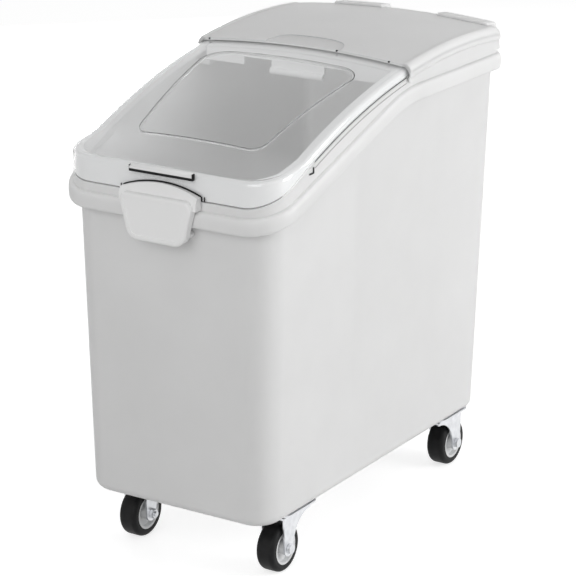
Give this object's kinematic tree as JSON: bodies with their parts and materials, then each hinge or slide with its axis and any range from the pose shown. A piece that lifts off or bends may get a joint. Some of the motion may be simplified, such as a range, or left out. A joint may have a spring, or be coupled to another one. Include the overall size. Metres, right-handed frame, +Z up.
{
  "type": "rolling ingredient bin",
  "caption": "Tapered white food bin on swivel casters, with a clear front lid that slides back on an arc under a hinged rear cover.",
  "frame": {"origin": "on the ground below the middle of the bin's box", "axes": "+Z up, front with the handle faces -Y, +X to the right seen from the front"},
  "size_m": [0.377, 0.69, 0.732],
  "materials": {
    "white_plastic": "satin moulded polyethylene",
    "clear_plastic": "clear moulded polycarbonate",
    "zinc_steel": "bright zinc plate",
    "grey_plastic": "satin",
    "black_rubber": "smooth, semi-gloss"
  },
  "bodies": {
    "tub": {"tub": "white_plastic", "slide_rail_left": "white_plastic", "slide_rail_right": "white_plastic", "cross_bar": "white_plastic", "handle_plate": "white_plastic", "handle_screws": "zinc_steel", "cover_hinge_pin": "zinc_steel", "caster_bolts": "zinc_steel", "caster_washers": "zinc_steel", "caster_nuts": "zinc_steel", "caster_plate_fl": "zinc_steel", "caster_plate_fr": "zinc_steel", "caster_plate_rl": "zinc_steel", "caster_plate_rr": "zinc_steel", "kingpin_fl": "zinc_steel", "kingpin_fr": "zinc_steel", "kingpin_rl": "zinc_steel", "kingpin_rr": "zinc_steel"},
    "lid": {"front_lid": "clear_plastic", "lid_seal": "white_plastic"},
    "cover": {"rear_cover": "white_plastic"},
    "swivel_fl": {"fork_fl": "zinc_steel", "race_balls_fl": "zinc_steel", "axle_bolt_fl": "zinc_steel", "axle_nut_fl": "zinc_steel", "axle_sleeve_fl": "zinc_steel"},
    "wheel_fl": {"wheel_hub_fl": "grey_plastic", "tyre_fl": "black_rubber"},
    "swivel_fr": {"fork_fr": "zinc_steel", "race_balls_fr": "zinc_steel", "axle_bolt_fr": "zinc_steel", "axle_nut_fr": "zinc_steel", "axle_sleeve_fr": "zinc_steel"},
    "wheel_fr": {"wheel_hub_fr": "grey_plastic", "tyre_fr": "black_rubber"},
    "swivel_rl": {"fork_rl": "zinc_steel", "race_balls_rl": "zinc_steel", "axle_bolt_rl": "zinc_steel", "axle_nut_rl": "zinc_steel", "axle_sleeve_rl": "zinc_steel"},
    "wheel_rl": {"wheel_hub_rl": "grey_plastic", "tyre_rl": "black_rubber"},
    "swivel_rr": {"fork_rr": "zinc_steel", "race_balls_rr": "zinc_steel", "axle_bolt_rr": "zinc_steel", "axle_nut_rr": "zinc_steel", "axle_sleeve_rr": "zinc_steel"},
    "wheel_rr": {"wheel_hub_rr": "grey_plastic", "tyre_rr": "black_rubber"}
  },
  "joints": [
    {"name": "lid_slide", "type": "hinge", "parent": "tub", "child": "lid", "pos_m": [0, 0.205, -0.405], "axis": [-1, 0, 0], "range_deg": [0, 12.5]},
    {"name": "cover_hinge", "type": "hinge", "parent": "tub", "child": "cover", "pos_m": [0, 0.34, 0.685], "axis": [-1, 0, 0], "range_deg": [0, 100]},
    {"name": "swivel_fl", "type": "hinge", "parent": "tub", "child": "swivel_fl", "pos_m": [-0.1225, -0.199, 0.0907], "axis": [0, 0, 1], "continuous": true},
    {"name": "wheel_fl", "type": "hinge", "parent": "swivel_fl", "child": "wheel_fl", "pos_m": [-0.1225, -0.221, 0.0375], "axis": [1, 0, 0], "continuous": true},
    {"name": "swivel_fr", "type": "hinge", "parent": "tub", "child": "swivel_fr", "pos_m": [0.1225, -0.199, 0.0907], "axis": [0, 0, 1], "continuous": true},
    {"name": "wheel_fr", "type": "hinge", "parent": "swivel_fr", "child": "wheel_fr", "pos_m": [0.1225, -0.221, 0.0375], "axis": [1, 0, 0], "continuous": true},
    {"name": "swivel_rl", "type": "hinge", "parent": "tub", "child": "swivel_rl", "pos_m": [-0.1225, 0.259, 0.0907], "axis": [0, 0, 1], "continuous": true},
    {"name": "wheel_rl", "type": "hinge", "parent": "swivel_rl", "child": "wheel_rl", "pos_m": [-0.1225, 0.281, 0.0375], "axis": [1, 0, 0], "continuous": true},
    {"name": "swivel_rr", "type": "hinge", "parent": "tub", "child": "swivel_rr", "pos_m": [0.1225, 0.259, 0.0907], "axis": [0, 0, 1], "continuous": true},
    {"name": "wheel_rr", "type": "hinge", "parent": "swivel_rr", "child": "wheel_rr", "pos_m": [0.1225, 0.281, 0.0375], "axis": [1, 0, 0], "continuous": true}
  ]
}
